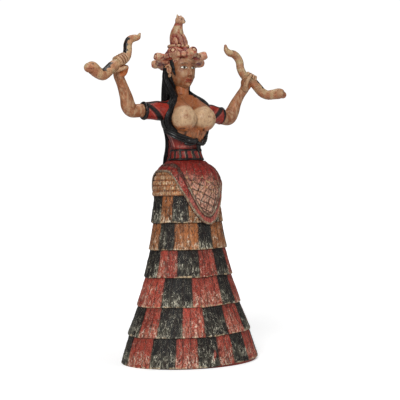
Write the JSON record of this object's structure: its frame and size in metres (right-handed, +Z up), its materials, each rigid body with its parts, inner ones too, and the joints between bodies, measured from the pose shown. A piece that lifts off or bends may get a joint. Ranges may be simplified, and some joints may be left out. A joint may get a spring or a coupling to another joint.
{
  "type": "snake goddess statuette",
  "caption": "Painted cast figure of a goddess in a tiered flounced skirt, both arms raised with a snake in each fist and a seated cat on her crown, standing on the flat foot of the skirt.",
  "frame": {"origin": "middle of the flat foot, under the body's own axis, on the surface that the statuette stands on", "axes": "+Z up along the figure, -Y the way the figure faces, +X her left"},
  "size_m": [0.2013, 0.097, 0.2951],
  "materials": {
    "skirt_red": "brick red paint rubbed back to cream on raised edges, satin",
    "skirt_ochre": "ochre brown paint rubbed back to cream, satin",
    "bodice_red": "smooth brick red paint, satin",
    "trim_black": "black paint with grey rubbed ridges, satin",
    "hair_black": "black paint with a soft sheen, satin",
    "skin": "cream paint with orange brown wash in the hollows, satin",
    "eye_white": "painted white and dark eye, gloss",
    "snake_cream": "cream tan paint with a black scalloped back stripe, satin",
    "crown_pink": "pink cream paint over a dark red wash in the hollows, satin"
  },
  "bodies": {
    "root": {"snake_goddess_statuette": "skirt_red"}
  },
  "joints": []
}
